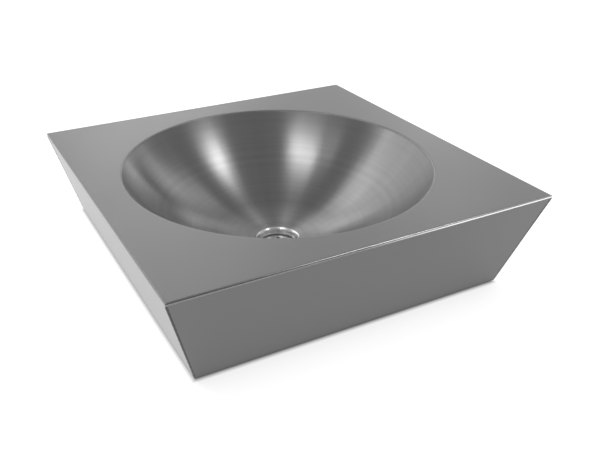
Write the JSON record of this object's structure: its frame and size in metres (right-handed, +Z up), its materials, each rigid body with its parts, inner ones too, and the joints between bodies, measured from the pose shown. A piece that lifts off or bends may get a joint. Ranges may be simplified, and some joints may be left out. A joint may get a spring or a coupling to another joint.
{
  "type": "hand wash basin",
  "caption": "Square wall-hung hand wash basin in brushed stainless sheet, with a round spun bowl, leaning sides and a strainer waste.",
  "frame": {"origin": "midway between the two wall fixing holes, on the outer face of the back panel, where the basin meets the wall", "axes": "+Z up, +Y out of the back face into the wall, so the front faces -Y; +X to the right for someone facing the basin"},
  "size_m": [0.4, 0.4, 0.145],
  "materials": {
    "satin_steel": "satin, fine straight grain",
    "bowl_steel": "satin, grain running round the bowl",
    "polished_steel": "polished",
    "strainer_steel": "polished",
    "raw_steel": "mill finish, matt",
    "plated_steel": "zinc plated",
    "brass": "turned",
    "pad_rubber": "matt",
    "seal_rubber": "matt",
    "nylon": "moulded, matt"
  },
  "bodies": {
    "basin": {"deck": "satin_steel", "front_panel": "satin_steel", "left_panel": "satin_steel", "right_panel": "satin_steel", "back_panel": "satin_steel", "bowl": "bowl_steel", "fixing_plates": "raw_steel", "damping_pads": "pad_rubber", "earth_tag": "raw_steel", "earth_screw": "plated_steel", "earth_washers": "plated_steel", "earth_nut": "plated_steel", "flange_seal": "seal_rubber", "waste_flange": "polished_steel", "under_seal": "seal_rubber", "slip_washer": "nylon", "backnut": "brass"},
    "strainer": {"strainer": "strainer_steel"}
  },
  "joints": [
    {"name": "strainer_lift", "type": "slide", "parent": "basin", "child": "strainer", "axis": [0, 0, 1], "range_m": [0, 0.115]}
  ]
}
